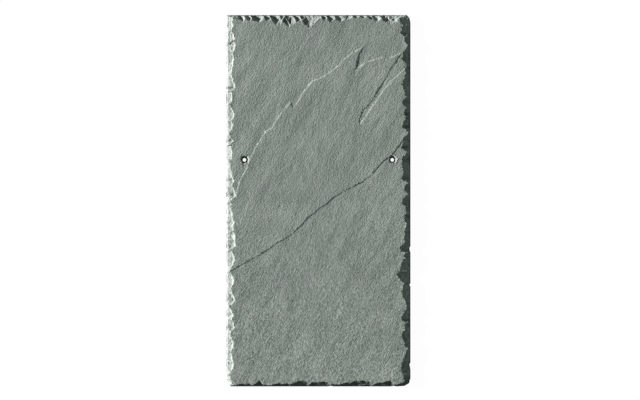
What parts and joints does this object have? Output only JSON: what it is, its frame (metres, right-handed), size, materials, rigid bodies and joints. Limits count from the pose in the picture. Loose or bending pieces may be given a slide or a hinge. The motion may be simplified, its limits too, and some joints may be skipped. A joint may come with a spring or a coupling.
{
  "type": "roof slate",
  "caption": "Rectangular natural roofing slate with dressed, chipped edges and a nail hole punched near each long side.",
  "frame": {"origin": "centre of the slate's bounding box on its back, the bed face", "axes": "+Y towards the head, the end that the courses above cover; +X to the right, seen from the face; +Z out of the dressed face"},
  "size_m": [0.248, 0.5, 0.008],
  "materials": {
    "slate": "riven, matt, grey-green"
  },
  "bodies": {
    "root": {"roof_slate": "slate"}
  },
  "joints": []
}
